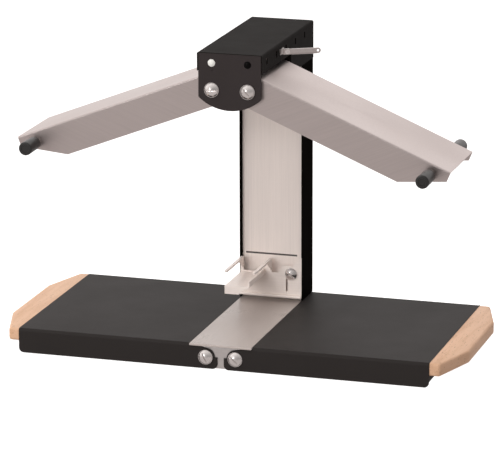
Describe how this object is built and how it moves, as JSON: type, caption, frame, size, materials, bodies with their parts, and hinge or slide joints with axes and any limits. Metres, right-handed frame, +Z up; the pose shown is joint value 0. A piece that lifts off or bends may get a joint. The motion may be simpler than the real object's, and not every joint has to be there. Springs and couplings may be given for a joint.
{
  "type": "raclette cheese melter",
  "caption": "Tabletop raclette melter: black head on a stainless-fronted column, two hinged heater hoods, fold-down black wings with beech ends.",
  "frame": {"origin": "on the table, under the middle of the base", "axes": "+X along the wings to the right, +Y towards the back, +Z up"},
  "size_m": [0.767, 0.3606, 0.5],
  "materials": {
    "brushed_stainless": "brushed stainless sheet, warm light grey",
    "black_coat": "fine-textured black powder coat",
    "beech": "clear-finished beech",
    "polished_steel": "polished steel screw heads and collars",
    "zinc_steel": "bright zinc-plated steel",
    "bright_aluminium": "bright reflector sheet",
    "element_sheath": "heat-darkened tubular sheath",
    "black_plastic": "moulded heat-resistant plastic",
    "white_plastic": "moulded terminal plastic",
    "rocker_plastic": "glossy rocker plastic",
    "pale_lens": "pale lamp lens",
    "dark_lens": "dark lamp lens",
    "brass_pins": "bright brass",
    "white_sleeve": "heat-resistant cable sleeve",
    "black_rubber": "moulded rubber"
  },
  "bodies": {
    "stand": {"base_channel": "brushed_stainless", "centre_strip": "brushed_stainless", "column_foot_plate": "zinc_steel", "foot_bolts": "zinc_steel", "column_shell": "black_coat", "column_panel": "brushed_stainless", "head_shell": "black_coat", "head_front_plate": "black_coat", "head_bulkhead": "black_coat", "head_floor": "black_coat", "head_back_plate": "black_coat", "back_screws": "zinc_steel", "pilot_lamp_left": "pale_lens", "pilot_lamp_right": "dark_lens", "arm_pivot_bolts": "polished_steel", "arm_pivot_nuts": "zinc_steel", "arm_spacers": "zinc_steel", "wing_pivot_bolts": "polished_steel", "wing_pivot_nuts": "zinc_steel", "rest_bracket": "brushed_stainless", "clamp_screw": "polished_steel", "clamp_spacer": "zinc_steel", "latch_bracket": "zinc_steel", "latch_screw": "polished_steel", "mains_inlet": "black_plastic", "inlet_pins": "brass_pins", "inlet_screws": "zinc_steel", "switch_housings": "black_plastic", "terminal_block": "white_plastic", "mains_harness": "white_sleeve", "cable_grommet": "black_rubber"},
    "left_wing": {"wing_panel_left": "black_coat", "end_grip_left": "beech", "grip_screws_left": "zinc_steel"},
    "right_wing": {"wing_panel_right": "black_coat", "end_grip_right": "beech", "grip_screws_right": "zinc_steel"},
    "left_arm": {"hood_left": "brushed_stainless", "end_web_left": "zinc_steel", "reflector_left": "bright_aluminium", "heating_element_left": "element_sheath", "element_clips_left": "zinc_steel", "pivot_tube_left": "zinc_steel", "knob_collars_left": "polished_steel", "knob_grips_left": "black_plastic"},
    "right_arm": {"hood_right": "brushed_stainless", "end_web_right": "zinc_steel", "reflector_right": "bright_aluminium", "heating_element_right": "element_sheath", "element_clips_right": "zinc_steel", "pivot_tube_right": "zinc_steel", "knob_collars_right": "polished_steel", "knob_grips_right": "black_plastic"},
    "latch": {"latch_lever": "brushed_stainless"},
    "left_switch": {"rocker_left": "rocker_plastic"},
    "right_switch": {"rocker_right": "rocker_plastic"}
  },
  "joints": [
    {"name": "right_arm_tilt", "type": "hinge", "parent": "stand", "child": "right_arm", "pos_m": [0.0294, -0.0372, 0.4403], "axis": [0, 1, 0], "range_deg": [-22.8, 62]},
    {"name": "left_arm_tilt", "type": "hinge", "parent": "stand", "child": "left_arm", "pos_m": [-0.0294, -0.0372, 0.4403], "axis": [0, -1, 0], "range_deg": [-21.2, 63.6]},
    {"name": "right_wing_fold", "type": "hinge", "parent": "stand", "child": "right_wing", "pos_m": [0.0245, 0, 0.019], "axis": [0, 1, 0], "range_deg": [0, 90]},
    {"name": "left_wing_fold", "type": "hinge", "parent": "stand", "child": "left_wing", "pos_m": [-0.0245, 0, 0.019], "axis": [0, -1, 0], "range_deg": [0, 90]},
    {"name": "latch_swing", "type": "hinge", "parent": "stand", "child": "latch", "pos_m": [0.063, -0.013, 0.486], "axis": [0.4756, -0.8796, 0], "range_deg": [0, 75]},
    {"name": "left_switch_rock", "type": "hinge", "parent": "stand", "child": "left_switch", "pos_m": [-0.025, 0.17, 0.47], "axis": [-1, 0, 0], "range_deg": [0, 14]},
    {"name": "right_switch_rock", "type": "hinge", "parent": "stand", "child": "right_switch", "pos_m": [0.025, 0.17, 0.47], "axis": [-1, 0, 0], "range_deg": [0, 14]}
  ]
}
